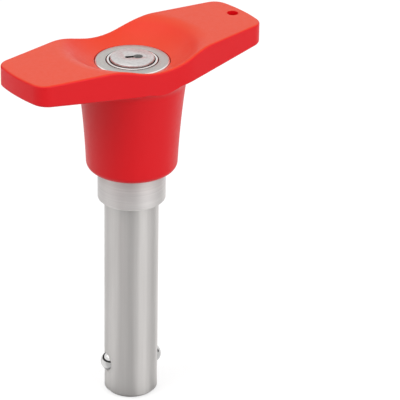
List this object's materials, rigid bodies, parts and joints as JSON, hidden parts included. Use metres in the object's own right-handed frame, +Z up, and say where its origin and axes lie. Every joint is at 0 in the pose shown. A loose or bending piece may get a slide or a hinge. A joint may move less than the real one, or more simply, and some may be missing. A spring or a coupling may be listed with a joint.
{
  "type": "ball lock pin",
  "caption": "Keyed ball lock pin: plastic T-handle with a key lock in its dish, steel collar and shank, and locking balls near the tip that draw in when the key is turned.",
  "frame": {"origin": "on the pin's axis at the underside of the collar, the face that seats on the work", "axes": "+Z up the pin's axis, from the tip towards the handle; +X along the handle, towards the end with the lanyard hole; +Y across the handle"},
  "size_m": [0.0812, 0.0322, 0.1132],
  "materials": {
    "handle_plastic": "satin moulded plastic",
    "turned_steel": "fine turned stainless steel",
    "satin_steel": "satin stainless steel",
    "bright_steel": "bright stainless steel",
    "polished_steel": "polished bearing ball",
    "spring_steel": "spring steel",
    "brass": "turned brass"
  },
  "bodies": {
    "housing": {"grip": "handle_plastic", "bezel_ring": "satin_steel", "lock_barrel": "bright_steel", "chamber_cover": "brass", "barrel_dowel": "satin_steel", "shank": "turned_steel", "spigot_clip": "spring_steel", "spring_washer": "satin_steel", "return_spring": "spring_steel", "driver_pin_1": "brass", "driver_pin_2": "brass", "driver_pin_3": "brass", "driver_pin_4": "brass", "driver_pin_5": "brass", "tumbler_spring_1": "spring_steel", "tumbler_spring_2": "spring_steel", "tumbler_spring_3": "spring_steel", "tumbler_spring_4": "spring_steel", "tumbler_spring_5": "spring_steel"},
    "plug": {"lock_plug": "satin_steel", "cam_sleeve": "satin_steel", "cam_screw": "satin_steel", "key_pin_1": "brass", "key_pin_2": "brass", "key_pin_3": "brass", "key_pin_4": "brass", "key_pin_5": "brass"},
    "spindle": {"spindle": "satin_steel", "cross_pin": "satin_steel"},
    "right_ball": {"ball_right": "polished_steel"},
    "left_ball": {"ball_left": "polished_steel"}
  },
  "joints": [
    {"name": "key_turn", "type": "hinge", "parent": "housing", "child": "plug", "pos_m": [0, 0, 0.0447], "axis": [0, 0, -1], "range_deg": [0, 90]},
    {"name": "spindle_slide", "type": "slide", "parent": "housing", "child": "spindle", "axis": [0, 0, -1], "range_m": [0, 0.004], "stiffness_N_per_m": 900, "springref_m": -0.006, "deforming": ["return_spring"]},
    {"name": "right_ball_slide", "type": "slide", "parent": "housing", "child": "right_ball", "axis": [-0.9613, 0.2756, 0], "range_m": [0, 0.0016]},
    {"name": "left_ball_slide", "type": "slide", "parent": "housing", "child": "left_ball", "axis": [0.9613, -0.2756, 0], "range_m": [0, 0.0016]}
  ],
  "couplings": [
    {"joint": "key_turn", "follows": "spindle_slide", "rad_per_m": 392.7},
    {"joint": "right_ball_slide", "follows": "spindle_slide", "ratio": 0.4},
    {"joint": "left_ball_slide", "follows": "spindle_slide", "ratio": 0.4}
  ]
}
